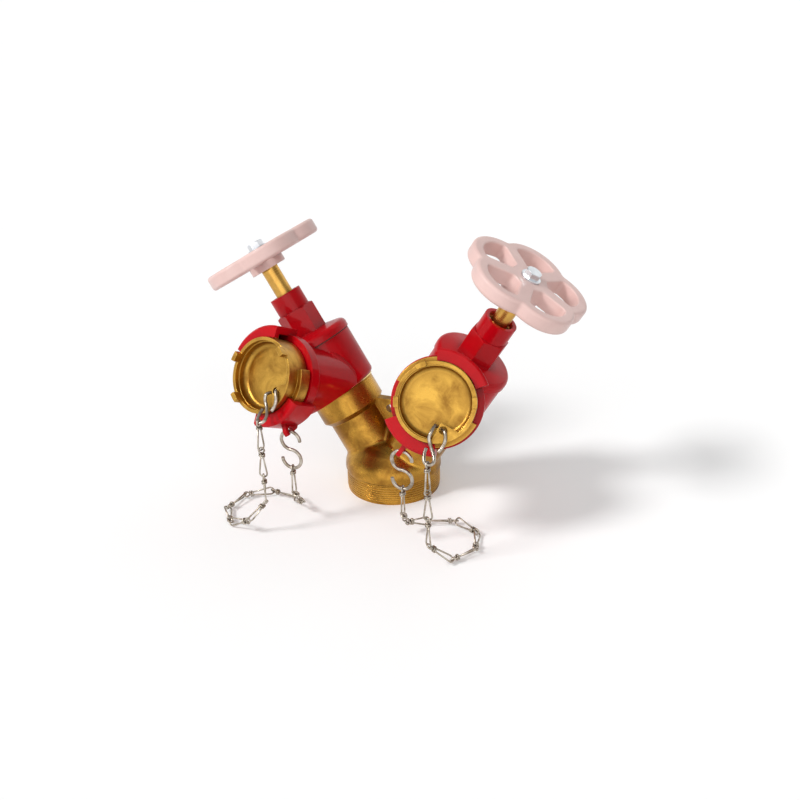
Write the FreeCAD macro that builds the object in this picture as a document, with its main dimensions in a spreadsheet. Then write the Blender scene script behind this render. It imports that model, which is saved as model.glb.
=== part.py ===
import FreeCAD, Part
import math
import os
import re

import Sketcher
from FreeCAD import Placement, Rotation, Vector

# Double hydrant valve: a brass Y piece with two angle valves, claw caps and tether chains.
# Origin at the centre of the inlet thread's end face, +Z up, outlets towards -Y, left valve at -X.
# Stations along an arm are measured from the point where the two arm axes meet.
# Stations along an outlet are measured from the stem axis.

doc = FreeCAD.newDocument("double_hydrant_valve")
dims = doc.addObject("Spreadsheet::Sheet", "dims")

SIZES = {
    # Y piece: inlet thread, shoulder, arms, collars, spigots and the eye web in the crotch
    "thread_radius": 43.94, "thread_length": 20.0,
    "relief_depth": 1.2, "relief_width": 1.3, "inlet_bore": 36.5, "inlet_depth": 28.0, "inlet_chamfer": 1.3,
    "shoulder_radius": 45.3, "shoulder_height": 9.0, "shoulder_round": 19.0,
    "hub_top": 51.0, "hub_top_radius": 27.0, "hub_crown": 24.0, "hub_wall": 5.5, "arm_blend": 5.0,
    "arm_angle": 31.5, "arm_meet": 8.0, "arm_start": 20.0, "arm_radius": 26.5, "arm_bore": 22.0,
    "collar_start": 76.3, "collar_end": 97.2, "collar_radius": 31.3, "collar_edge": 1.2,
    "spigot_radius": 29.8, "spigot_length": 13.0,
    "web_thick": 8.0, "web_top": 89.0, "web_root": 2.0, "eye_height": 80.0, "eye_radius": 4.0,
    # screwed and loose fits
    "thread_play": 0.2, "stem_fit": 0.05, "loose_fit": 0.3,
    # valve body: barrel, seat and chamber
    "ring_thick": 1.0, "ring_edge": 1.0, "body_radius": 34.8, "body_top": 146.0, "body_foot": 4.0,
    "seat_bore": 21.5, "seat_land": 3.0, "seat_rise": 1.5, "seat_plate": 4.5, "socket_spare": 1.3,
    # outlet: neck, shoulder ring, groove and mouth
    "outlet_rise": 30.0, "outlet_centre": 100.0, "outlet_bore": 23.0,
    "throat_bore": 18.0, "throat_end": 52.0, "throat_flare": 20.0,
    "neck_start": 15.0, "neck_radius": 31.5, "neck_flare": 9.0, "ring_width": 9.0, "ring_radius": 39.0,
    "mouth_face": 92.3, "mouth_radius": 30.0, "mouth_flange": 2.6, "groove_depth": 2.2,
    "gasket_groove": 2.0, "gasket_inner": 24.2, "gasket_width": 3.2,
    # claw coupling, angles counted from the stem side of the outlet
    "hook_gap": 0.4, "lip_play": 0.6, "groove_spare": 1.5,
    "body_claw_wall": 6.8, "body_claw_span": 70.0, "body_lip": 4.6, "claw_corner": 2.0,
    "cap_claw_wall": 6.9, "cap_claw_start": 30.0, "cap_claw_span": 53.0, "cap_lip": 2.6,
    "ledge_span": 54.0, "ledge_thick": 4.0, "notch_start": 90.0, "notch_margin": 2.0,
    # chain eyelet under the outlet
    "eyelet_reach": 50.0, "eyelet_station": 87.0, "eyelet_radius": 6.9, "eyelet_hole": 3.7, "eyelet_thick": 4.0,
    # cap: dish, rim lugs and the ear for the hook
    "cap_gap": 1.4, "cap_floor": 3.0, "cap_height": 15.0, "cap_radius": 33.3, "cap_wall": 2.9,
    "dish_step": 0.8, "dish_step_depth": 4.5, "dish_round": 4.5, "left_cap_set": -5.0, "right_cap_set": 14.0,
    "lug_root": 2.0, "lug_rise": 5.5, "lug_width": 4.0, "lug_span": 15.0, "lug_lead": 13.5,
    "ear_angle": 218.0, "ear_hole_reach": 23.5, "ear_hole": 3.4, "ear_edge": 4.6, "ear_thick": 2.6,
    # bonnet: spigot, flange, hexagon and stuffing box neck
    "gasket_thick": 1.0, "bonnet_spigot": 8.5, "bonnet_spigot_wall": 2.6,
    "flange_radius": 36.0, "flange_height": 8.0, "flange_dome": 4.0, "flange_round": 5.0,
    "hex_flats": 32.0, "hex_top": 183.7, "hex_bevel": 1.6, "neck_top": 200.9, "neck_width": 15.3,
    "bonnet_roof": 151.0, "box_start": 176.0, "box_radius": 11.6,
    "packing_length": 11.0, "gland_length": 11.0, "gland_slot": 3.0, "gland_slot_depth": 3.0,
    # stem
    "stem_radius": 8.1, "screw_radius": 9.0, "screw_start": 135.0, "screw_end": 159.0, "stem_neck": 5.0,
    "button_radius": 8.0, "button_start": 124.4, "button_height": 4.4,
    "square_start": 227.0, "square_flats": 12.5, "stem_end": 239.5, "tapped_radius": 3.4, "tapped_depth": 15.0,
    # disc, washer and nuts
    "washer_thick": 3.9, "washer_radius": 25.5, "disc_radius": 26.0, "disc_plate": 5.5, "disc_hub": 14.0,
    "disc_hub_height": 6.0, "stud_radius": 4.0, "stud_length": 10.0, "nut_height": 5.0, "nut_flats": 13.0,
    "retainer_height": 3.6,
    # handwheel and its bolt
    "wheel_bottom": 235.0, "wheel_thick": 13.4, "lobe_offset": 26.0, "lobe_radius": 31.0, "rim_width": 9.5,
    "lobe_turn": 29.0, "spoke_width": 12.0, "window_corner": 4.0, "valley_round": 5.0, "window_round": 1.2,
    "hub_radius": 17.0, "hub_bottom": 228.0, "wheel_round": 3.0,
    "socket_play": 0.15, "bolt_clear": 4.5, "plate_washer": 1.6, "plate_washer_radius": 9.0,
    "bolt_head": 5.4, "bolt_flats": 13.0, "bolt_shank": 16.0,
    # S-hooks and chain
    "hook_wire": 1.5, "hook_bend": 9.0, "cap_hook_bend": 6.0, "cap_hook_reach": 4.2, "cap_hook_turn": 4.0,
    "cap_hook_drop": 18.3, "cap_hook_cup": 7.0, "left_hook_swing": 0.0, "right_hook_swing": 30.0,
    "link_pitch": 26.0, "link_wire": 0.75, "link_width": 8.4, "link_slack": 0.9, "floor_lift": 4.6,
}

LOBES = 5
SIDES = {"left": -1, "right": 1}

for row, (name, amount) in enumerate(SIZES.items(), start=1):
    dims.set(f"A{row}", name)
    dims.set(f"B{row}", str(amount))
    dims.setAlias(f"B{row}", name)
doc.recompute()

nodes = {}

FUNCTIONS = ("cos", "sin", "tan", "sqrt")
WORD = re.compile(r"[a-z][a-z_]*")


def size(name):
    return float(dims.get(name))


def formula(text):
    """A size formula with each size's name turned into its cell."""
    return WORD.sub(lambda word: word[0] if word[0] in FUNCTIONS else "dims." + word[0], str(text))


def number(text):
    return float(dims.evalExpression(formula(text)))


def bind(owner, path, text):
    owner.setExpression(path, formula(text))


# Bodies and sketches

def new_body(label, place):
    body = doc.addObject("PartDesign::Body", label)
    body.Label = label
    body.Placement = place
    nodes[label] = body
    return body


def sketch_on(body, plane, name, offset=None):
    sketch = body.newObject("Sketcher::SketchObject", name)
    support = [item for item in body.Origin.OriginFeatures if item.Role == plane][0]
    sketch.AttachmentSupport = (support, [""])
    sketch.MapMode = "FlatFace"
    if offset:
        sketch.AttachmentOffset = offset
    return sketch


def pin_point(sketch, geometry, end, x, y):
    """Hold one point of a sketch at two formulas."""
    for kind, text in (("DistanceX", x), ("DistanceY", y)):
        held = Sketcher.Constraint(kind, -1, 1, geometry, end, number(text))
        bind(sketch, f"Constraints[{sketch.addConstraint(held)}]", text)


def outline(sketch, corners):
    """Closed outline of straight runs through corner formulas."""
    first = sketch.GeometryCount
    spots = [Vector(number(x), number(y), 0) for x, y in corners]
    for start, end in zip(spots, spots[1:] + spots[:1]):
        sketch.addGeometry(Part.LineSegment(start, end))
    for index in range(len(corners)):
        following = first + (index + 1) % len(corners)
        sketch.addConstraint(Sketcher.Constraint("Coincident", first + index, 2, following, 1))
    for index, (x, y) in enumerate(corners):
        pin_point(sketch, first + index, 1, x, y)


def circle(sketch, x, y, radius):
    centre = Vector(number(x), number(y), 0)
    index = sketch.addGeometry(Part.Circle(centre, Vector(0, 0, 1), number(radius)))
    pin_point(sketch, index, 3, x, y)
    held = Sketcher.Constraint("Radius", index, number(radius))
    bind(sketch, f"Constraints[{sketch.addConstraint(held)}]", radius)


def turned(body, name, corners, plane="XZ_Plane", offset=None, span=None, cut=False):
    """A profile of (radius, station) corners turned about the sketch's vertical axis."""
    sketch = sketch_on(body, plane, name + "_profile", offset)
    outline(sketch, corners)
    feature = body.newObject("PartDesign::Groove" if cut else "PartDesign::Revolution", name)
    feature.Profile = sketch
    feature.ReferenceAxis = (sketch, ["V_Axis"])
    feature.Angle = 360
    if span:
        bind(feature, "Angle", span)
        feature.Midplane = True
    return feature


def pad(body, name, sketch, length, cut=False, symmetric=False):
    feature = body.newObject("PartDesign::Pocket" if cut else "PartDesign::Pad", name)
    feature.Profile = sketch
    if symmetric:
        feature.SideType = "Symmetric"
    bind(feature, "Length", length)
    return feature


def patterned(body, feature, count):
    """Copies of a feature round the vertical axis of its own sketch."""
    copies = body.newObject("PartDesign::PolarPattern", feature.Name + "_copies")
    copies.Originals = [feature]
    copies.Axis = (feature.Profile[0], ["V_Axis"])
    copies.Angle = 360
    copies.Occurrences = count
    body.Tip = copies
    return copies


def softened(body, name, radius, wanted):
    """Fillet the edges of the body's last feature that pass a test."""
    doc.recompute()
    last = body.Tip
    edges = [f"Edge{i}" for i, edge in enumerate(last.Shape.Edges, start=1) if wanted(edge)]
    fillet = body.newObject("PartDesign::Fillet", name)
    fillet.Base = (last, edges)
    bind(fillet, "Radius", radius)
    return fillet


def ring_at(radius, station):
    """Test for a full round edge of one radius at one station."""
    def wanted(edge):
        if not isinstance(edge.Curve, Part.Circle):
            return False
        return abs(edge.Curve.Radius - radius) < 0.01 and abs(edge.Curve.Center.z - station) < 0.01
    return wanted


def tube_corners(inner, outer, start, end):
    return [(inner, start), (outer, start), (outer, end), (inner, end)]


def hexagon(sketch, flats):
    """Hexagon with corners on the sketch's vertical axis."""
    corner = f"({flats}) / sqrt(3)"
    outline(sketch, [(f"{corner} * cos({30 + 60 * i})", f"{corner} * sin({30 + 60 * i})") for i in range(6)])


def up(station):
    """Sketch offset that lifts a flat sketch to a station."""
    return Placement(Vector(0, 0, number(station)), Rotation())


# Frames: each valve stands on its arm, each outlet leans out of its valve

outlet_turn = Rotation(Vector(1, 0, 0), 90 - size("outlet_rise"))
outlet_frame = Placement(Vector(0, 0, size("outlet_centre")), outlet_turn)


def valve_frame(side):
    return Placement(Vector(0, 0, size("arm_meet")), Rotation(Vector(0, 1, 0), SIDES[side] * size("arm_angle")))


def arm_plane(side):
    """Sketch offset on the front plane whose vertical axis is one arm's axis."""
    lean = Rotation(Vector(0, 0, 1), -SIDES[side] * size("arm_angle"))
    return Placement(Vector(0, size("arm_meet"), 0), lean)


def outlet_plane(turn=0):
    """Sketch offset on the valve's side plane: vertical axis along the outlet, turned about it."""
    lean = Rotation(Vector(0, 0, 1), 90 - size("outlet_rise"))
    return Placement(Vector(0, size("outlet_centre"), 0), lean * Rotation(Vector(0, 1, 0), turn))


def turned_plane(turn):
    """Sketch offset on a side plane, turned about its vertical axis."""
    return Placement(Vector(), Rotation(Vector(0, 1, 0), turn))


# Formulas that several pieces share

relief_end = "thread_length + relief_width"
shoulder_end = f"{relief_end} + shoulder_height"
crotch = "arm_meet + arm_radius / sin(arm_angle)"
spigot_end = "collar_end + spigot_length"
body_start = "collar_end + ring_thick"
socket_end = f"{spigot_end} + socket_spare"
seat_floor = f"{socket_end} + seat_plate"
seat_face = f"{seat_floor} + seat_rise"
chamber_radius = "spigot_radius + thread_play"
mouth_back = "mouth_face - mouth_flange"
groove_radius = "mouth_radius - groove_depth"
cap_lip_back = f"{mouth_back} - hook_gap - cap_lip"
ring_front = f"{cap_lip_back} - groove_spare"
ring_back = f"{ring_front} - ring_width"
cap_claw_inner = "mouth_radius + hook_gap"
cap_claw_outer = f"{cap_claw_inner} + cap_claw_wall"
body_claw_inner = f"{cap_claw_outer} + hook_gap"
body_claw_outer = f"{body_claw_inner} + body_claw_wall"
cap_back = "mouth_face + cap_gap"
cap_front = f"{cap_back} + cap_height"
ledge_front = f"{cap_back} + ledge_thick"
body_lip_back = f"{ledge_front} + hook_gap"
body_claw_front = f"{body_lip_back} + body_lip"
bonnet_start = "body_top + gasket_thick"
flange_end = f"{bonnet_start} + flange_height"
dome_end = f"{flange_end} + flange_dome"
packing_end = "box_start + packing_length"
disc_bottom = f"{seat_face} + washer_thick"
disc_top = f"{disc_bottom} + disc_plate"
disc_hub_top = f"{disc_top} + disc_hub_height"
button_end = "button_start + button_height"
wheel_top = "wheel_bottom + wheel_thick"
bolt_seat = f"{wheel_top} + plate_washer"


# Y piece: cast brass, thread and shoulder turned, arms and collars at one angle each side

def make_y_body():
    body = new_body("y_body", Placement())
    relief_radius = "thread_radius - relief_depth"
    turned(body, "inlet", [
        (0, 0), ("thread_radius", 0), ("thread_radius", "thread_length"), (relief_radius, "thread_length"),
        (relief_radius, relief_end), ("shoulder_radius", relief_end), ("shoulder_radius", shoulder_end),
        ("hub_top_radius", "hub_top"), (0, "hub_top")])
    softened(body, "shoulder_rounds", "shoulder_round", ring_at(size("shoulder_radius"), number(shoulder_end)))
    softened(body, "hub_crowns", "hub_crown", ring_at(size("hub_top_radius"), size("hub_top")))
    for side in SIDES:
        turned(body, side + "_arm", [
            (0, "arm_start"), ("arm_radius", "arm_start"),
            ("arm_radius", "collar_start - (collar_radius - arm_radius)"), ("collar_radius", "collar_start"),
            ("collar_radius", "collar_end - collar_edge"), ("collar_radius - collar_edge", "collar_end"),
            ("spigot_radius", "collar_end"), ("spigot_radius", spigot_end), (0, spigot_end)],
            offset=arm_plane(side))
    # the arms run smoothly into the hub and into each other
    softened(body, "arm_blends", "arm_blend", lambda edge: not isinstance(edge.Curve, (Part.Line, Part.Circle)))
    web = sketch_on(body, "XZ_Plane", "web_shape")
    web_half = "(web_top - arm_meet) * tan(arm_angle) - arm_radius / cos(arm_angle) + web_root"
    outline(web, [("-web_root", f"{crotch} - web_root"), ("web_root", f"{crotch} - web_root"),
                  (web_half, "web_top"), (f"-({web_half})", "web_top")])
    pad(body, "eye_web", web, "web_thick", symmetric=True)
    eye = sketch_on(body, "XZ_Plane", "eye_shape")
    circle(eye, 0, "eye_height", "eye_radius")
    pad(body, "eye", eye, "web_thick * 2", cut=True, symmetric=True)
    turned(body, "inlet_way", [
        (0, -1), ("inlet_bore + inlet_chamfer", -1), ("inlet_bore + inlet_chamfer", 0),
        ("inlet_bore", "inlet_chamfer"), ("inlet_bore", "inlet_depth"),
        ("hub_top_radius - 2 * hub_wall", "hub_top - hub_wall"), (0, "hub_top - hub_wall")], cut=True)
    for side in SIDES:
        turned(body, side + "_arm_way", [
            (0, "arm_start"), ("arm_bore", "arm_start"), ("arm_bore", f"{spigot_end} + 1"),
            (0, f"{spigot_end} + 1")], offset=arm_plane(side), cut=True)


# Sealing rings: flat rings turned about the stem axis

def make_ring(label, place, inner, outer, start, end):
    turned(new_body(label, place), "ring", tube_corners(inner, outer, start, end))


# Valve body: one red casting with socket, seat, chamber, leaning outlet, claws and eyelet

def make_valve_body(side):
    body = new_body(side + "_valve_body", valve_frame(side))
    turned(body, "barrel", [(0, body_start), ("body_radius", body_start), ("body_radius", "body_top"),
                            (0, "body_top")])
    softened(body, "barrel_foot", "body_foot", ring_at(size("body_radius"), number(body_start)))
    turned(body, "neck", [
        (0, "neck_start"), ("neck_radius", "neck_start"), ("neck_radius", f"{ring_back} - neck_flare"),
        ("ring_radius", ring_back), ("ring_radius", ring_front), (groove_radius, ring_front),
        (groove_radius, mouth_back), ("mouth_radius", mouth_back), ("mouth_radius", "mouth_face"),
        (0, "mouth_face")], "YZ_Plane", outlet_plane())
    claw = turned(body, "claw", [
        (groove_radius, ring_back), (body_claw_outer, ring_back),
        (body_claw_outer, f"{body_claw_front} - claw_corner"),
        (f"{body_claw_outer} - claw_corner", body_claw_front),
        ("cap_radius + lip_play", body_claw_front), ("cap_radius + lip_play", body_lip_back),
        (body_claw_inner, body_lip_back), (body_claw_inner, ring_front), (groove_radius, ring_front)],
        "YZ_Plane", outlet_plane(), span="body_claw_span")
    patterned(body, claw, 2)
    root = sketch_on(body, "YZ_Plane", "eyelet_root_shape", outlet_plane())
    outline(root, [("-eyelet_reach", "eyelet_station - eyelet_radius"),
                   ("-eyelet_reach", "eyelet_station + eyelet_radius"),
                   (f"-({body_claw_inner})", "eyelet_station + eyelet_radius"),
                   (f"-({body_claw_inner})", ring_front), (f"-({groove_radius})", ring_front),
                   (f"-({groove_radius})", f"{ring_back} - neck_flare")])
    pad(body, "eyelet_root", root, "eyelet_thick", symmetric=True)
    lug = sketch_on(body, "YZ_Plane", "eyelet_shape", outlet_plane())
    circle(lug, "-eyelet_reach", "eyelet_station", "eyelet_radius")
    pad(body, "eyelet", lug, "eyelet_thick", symmetric=True)
    foot = sketch_on(body, "XY_Plane", "foot_trim_shape", up(body_start))
    reach = "mouth_face + eyelet_reach"
    outline(foot, [(f"-({reach})", f"-({reach})"), (reach, f"-({reach})"), (reach, "-body_radius / 2"),
                   (f"-({reach})", "-body_radius / 2")])
    pad(body, "foot_trim", foot, "neck_radius * 3", cut=True)
    bore_valve_body(body)


def bore_valve_body(body):
    """Everything cut out of the casting: bonnet recess, eyelet, outlet, coupling notches, seat and chamber."""
    recess = "flange_radius + hook_gap"
    turned(body, "bonnet_recess", [(0, "body_top"), (recess, "body_top"), (recess, "hex_top"), (0, "hex_top")],
           cut=True)
    hole = sketch_on(body, "YZ_Plane", "eyelet_hole_shape", outlet_plane())
    circle(hole, "-eyelet_reach", "eyelet_station", "eyelet_hole")
    pad(body, "eyelet_bore", hole, "eyelet_thick * 2", cut=True, symmetric=True)
    turned(body, "outlet_way", [
        (0, 0), ("throat_bore", 0), ("throat_bore", "throat_end"), ("outlet_bore", "throat_end + throat_flare"),
        ("outlet_bore", "mouth_face + 1"), (0, "mouth_face + 1")], "YZ_Plane", outlet_plane(), cut=True)
    turned(body, "gasket_seat", tube_corners(
        "gasket_inner", "gasket_inner + gasket_width", "mouth_face - gasket_groove", "mouth_face + 1"),
        "YZ_Plane", outlet_plane(), cut=True)
    notch_span = "cap_claw_span + 2 * notch_margin"
    notch_turn = size("notch_start") + size("cap_claw_span") / 2
    notch = turned(body, "claw_notch", tube_corners(
        groove_radius, f"{cap_claw_outer}", mouth_back, "mouth_face + 1"),
        "YZ_Plane", outlet_plane(notch_turn), span=notch_span, cut=True)
    patterned(body, notch, 2)
    turned(body, "seat_block", [(0, f"{body_start} + body_foot"), ("body_radius", f"{body_start} + body_foot"),
                                ("body_radius", seat_face), (0, seat_face)])
    turned(body, "chamber", [
        (0, f"{body_start} - 1"), (chamber_radius, f"{body_start} - 1"), (chamber_radius, socket_end),
        ("seat_bore", socket_end), ("seat_bore", seat_face), ("seat_bore + seat_land", seat_face),
        ("seat_bore + seat_land", seat_floor), (chamber_radius, seat_floor), (chamber_radius, "body_top + 1"),
        (0, "body_top + 1")], cut=True)


# Bonnet: red casting screwed into the body, with a hexagon and a stuffing box

def make_bonnet(side):
    body = new_body(side + "_bonnet", valve_frame(side))
    turned(body, "flange", [
        (0, f"{bonnet_start} - bonnet_spigot"), ("spigot_radius", f"{bonnet_start} - bonnet_spigot"),
        ("spigot_radius", bonnet_start), ("flange_radius", bonnet_start), ("flange_radius", flange_end),
        ("hex_flats / 2", dome_end), (0, dome_end)])
    softened(body, "flange_rounds", "flange_round", ring_at(size("flange_radius"), number(flange_end)))
    hex_sketch = sketch_on(body, "XY_Plane", "hex_shape", up(flange_end))
    hexagon(hex_sketch, "hex_flats")
    pad(body, "hex", hex_sketch, f"hex_top - ({flange_end})")
    corner = "hex_flats / sqrt(3)"
    turned(body, "hex_bevels", [("hex_flats / 2", "hex_top"), (f"{corner} + 1", "hex_top"),
                                (f"{corner} + 1", "hex_top - hex_bevel")], cut=True)
    neck = sketch_on(body, "XY_Plane", "neck_shape", up("hex_top"))
    circle(neck, 0, 0, "neck_width")
    pad(body, "neck", neck, "neck_top - hex_top")
    turned(body, "inside", [
        (0, f"{bonnet_start} - bonnet_spigot - 1"),
        ("spigot_radius - bonnet_spigot_wall", f"{bonnet_start} - bonnet_spigot - 1"),
        ("spigot_radius - bonnet_spigot_wall", "bonnet_roof"), ("screw_radius + stem_fit", "bonnet_roof"),
        ("screw_radius + stem_fit", "box_start"), ("box_radius", "box_start"), ("box_radius", "neck_top + 1"),
        (0, "neck_top + 1")], cut=True)


def make_gland_nut(side):
    body = new_body(side + "_gland_nut", valve_frame(side))
    gland_end = f"{packing_end} + gland_length"
    turned(body, "nut", tube_corners("stem_radius + loose_fit", "box_radius - thread_play",
                                     packing_end, gland_end))
    slot = sketch_on(body, "XY_Plane", "slot_shape", up(gland_end))
    outline(slot, [("-box_radius", "-gland_slot / 2"), ("box_radius", "-gland_slot / 2"),
                   ("box_radius", "gland_slot / 2"), ("-box_radius", "gland_slot / 2")])
    pad(body, "slot", slot, "gland_slot_depth", cut=True)


# Stem: turned brass with button, screw, plain length and a squared, tapped end

def make_stem(side):
    body = new_body(side + "_stem", valve_frame(side))
    turned(body, "rod", [
        (0, "button_start"), ("button_radius", "button_start"), ("button_radius", button_end),
        ("stem_neck", button_end), ("stem_neck", "screw_start"), ("screw_radius", "screw_start"),
        ("screw_radius", "screw_end"), ("stem_radius", "screw_end"), ("stem_radius", "stem_end"),
        (0, "stem_end")])
    for turn in range(0, 360, 90):
        flat = sketch_on(body, "YZ_Plane", f"flat_shape_{turn}", turned_plane(turn))
        outline(flat, [("square_flats / 2", "square_start"), ("stem_radius + 1", "square_start"),
                       ("stem_radius + 1", "stem_end + 1"), ("square_flats / 2", "stem_end + 1")])
        pad(body, f"flat_{turn}", flat, "stem_radius * 3", cut=True, symmetric=True)
    turned(body, "tapped_hole", [(0, "stem_end - tapped_depth"), ("tapped_radius", "stem_end - tapped_depth"),
                                 ("tapped_radius", "stem_end + 1"), (0, "stem_end + 1")], cut=True)


def make_disc(side):
    body = new_body(side + "_valve_disc", valve_frame(side))
    turned(body, "disc", [
        (0, f"{disc_bottom} - stud_length"), ("stud_radius", f"{disc_bottom} - stud_length"),
        ("stud_radius", disc_bottom), ("disc_radius", disc_bottom), ("disc_radius", disc_top),
        ("disc_hub", disc_top), ("disc_hub", disc_hub_top), ("button_radius + loose_fit", disc_hub_top),
        ("button_radius + loose_fit", "button_start - loose_fit"), (0, "button_start - loose_fit")])


def make_disc_nut(side):
    body = new_body(side + "_disc_nut", valve_frame(side))
    shape = sketch_on(body, "XY_Plane", "nut_shape", up(f"{seat_face} - nut_height"))
    hexagon(shape, "nut_flats")
    circle(shape, 0, 0, "stud_radius + stem_fit")
    pad(body, "nut", shape, "nut_height")


# Handwheel: five lobes make the rim, five spokes join it to a socketed hub

def part_object(kind, name, **formulas):
    thing = doc.addObject("Part::" + kind, name)
    for path, text in formulas.items():
        bind(thing, path.replace("_at_", "Placement.Base."), text)
    return thing


def joined(name, shapes):
    fuse = doc.addObject("Part::MultiFuse", name)
    fuse.Shapes = shapes
    return fuse


def removed(name, base, tool):
    cut = doc.addObject("Part::Cut", name)
    cut.Base = base
    cut.Tool = tool
    return cut


def lobes(name, radius, start, height):
    """Five round lobes set evenly about the stem axis."""
    rounds = []
    for lobe in range(LOBES):
        angle = f"lobe_turn + {360 / LOBES * lobe}"
        rounds.append(part_object(
            "Cylinder", f"{name}_{lobe}", Radius=radius, Height=height, _at_x=f"lobe_offset * cos({angle})",
            _at_y=f"lobe_offset * sin({angle})", _at_z=start))
    return joined(name, rounds)


def rounded_copy(name, base, radius_of):
    """A fillet feature over every edge that is given a radius."""
    doc.recompute()
    rounded = doc.addObject("Part::Fillet", name)
    rounded.Base = base
    radii = [(i, radius_of(edge)) for i, edge in enumerate(base.Shape.Edges, start=1)]
    rounded.Edges = [(i, radius, radius) for i, radius in radii if radius]
    return rounded


def upright_radius(edge):
    """Radius for an edge that runs straight up through the wheel: window corners inside, valleys outside."""
    ends = [vertex.Point for vertex in edge.Vertexes]
    if len(ends) < 2 or math.hypot(ends[0].x - ends[1].x, ends[0].y - ends[1].y) > 0.01:
        return 0
    reach = math.hypot(ends[0].x, ends[0].y)
    valley = size("lobe_offset") * math.cos(math.pi / LOBES) + math.sqrt(
        size("lobe_radius") ** 2 - (size("lobe_offset") * math.sin(math.pi / LOBES)) ** 2)
    if reach < size("hub_radius") - 0.1 or reach > valley + 0.1:
        return 0
    return size("valley_round") if reach > valley - 0.1 else size("window_corner")


def rim_radius(edge):
    """Radius for an edge in the wheel's faces: full on the outside, only broken round the windows on top."""
    box = edge.BoundBox
    on_top = abs(box.ZMin - number(wheel_top)) < 0.01
    if box.ZLength > 0.01 or not (on_top or abs(box.ZMin - size("wheel_bottom")) < 0.01):
        return 0
    middle = edge.valueAt((edge.FirstParameter + edge.LastParameter) / 2)
    windows_end = size("lobe_offset") + size("lobe_radius") - size("rim_width")
    if math.hypot(middle.x, middle.y) > windows_end + 0.2:
        return size("wheel_round")
    return size("window_round") if on_top else 0


def make_handwheel(side):
    name = side + "_wheel"
    outer = lobes(name + "_outer", "lobe_radius", "wheel_bottom", "wheel_thick")
    inner = lobes(name + "_inner", "lobe_radius - rim_width", "wheel_bottom - 1", "wheel_thick + 2")
    rim = removed(name + "_rim", outer, inner)
    spokes = []
    for lobe in range(LOBES):
        spoke = part_object("Box", f"{name}_spoke_{lobe}", Length="lobe_offset + lobe_radius - 1.5 * rim_width",
                            Width="spoke_width", Height="wheel_thick")
        angle = size("lobe_turn") + 360 / LOBES * (lobe + 0.5)
        half = size("spoke_width") / 2
        base = Rotation(Vector(0, 0, 1), angle).multVec(Vector(0, -half, 0))
        base.z = size("wheel_bottom")
        spoke.Placement = Placement(base, Rotation(Vector(0, 0, 1), angle))
        spokes.append(spoke)
    hub = part_object("Cylinder", name + "_hub", Radius="hub_radius", Height=f"{wheel_top} - hub_bottom",
                      _at_z="hub_bottom")
    solid = joined(name + "_solid", [rim, hub] + spokes)
    solid.Refine = True
    # corners of the windows and the valleys between lobes run straight up through the wheel
    cornered = rounded_copy(name + "_cornered", solid, upright_radius)
    # the rim's outer edges are full, the windows' edges only broken
    edged = rounded_copy(name + "_edged", cornered, rim_radius)
    half = "square_flats / 2 + socket_play"
    socket = part_object("Box", name + "_socket", Length=f"2 * ({half})", Width=f"2 * ({half})",
                         Height="stem_end + loose_fit - hub_bottom + 1", _at_x=f"-({half})", _at_y=f"-({half})",
                         _at_z="hub_bottom - 1")
    bolt_way = part_object("Cylinder", name + "_bolt_way", Radius="bolt_clear",
                           Height=f"{wheel_top} - hub_bottom + 2", _at_z="hub_bottom - 1")
    wheel = removed(side + "_handwheel", edged, joined(name + "_holes", [socket, bolt_way]))
    wheel.Placement = valve_frame(side)
    wheel.Label = side + "_handwheel"
    nodes[wheel.Label] = wheel


def make_bolt(side):
    body = new_body(side + "_wheel_bolt", valve_frame(side))
    bolt_end = f"{bolt_seat} - bolt_shank"
    turned(body, "shank", [(0, bolt_end), ("tapped_radius - stem_fit", bolt_end),
                           ("tapped_radius - stem_fit", bolt_seat), (0, bolt_seat)])
    head = sketch_on(body, "XY_Plane", "head_shape", up(bolt_seat))
    hexagon(head, "bolt_flats")
    pad(body, "head", head, "bolt_head")
    corner = "bolt_flats / sqrt(3)"
    turned(body, "head_bevels", [("bolt_flats / 2", f"{bolt_seat} + bolt_head"),
                                 (f"{corner} + 1", f"{bolt_seat} + bolt_head"),
                                 (f"{corner} + 1", f"{bolt_seat} + bolt_head - hex_bevel")], cut=True)


# Cap: cast brass dish with a ledge and a claw on each half, lugs on the rim and an ear for the hook

def cap_frame(side):
    """Each cap sits at its own turn in the claws."""
    turn = Rotation(Vector(0, 0, 1), size(side + "_cap_set"))
    return valve_frame(side) * outlet_frame * Placement(Vector(), turn)


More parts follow.
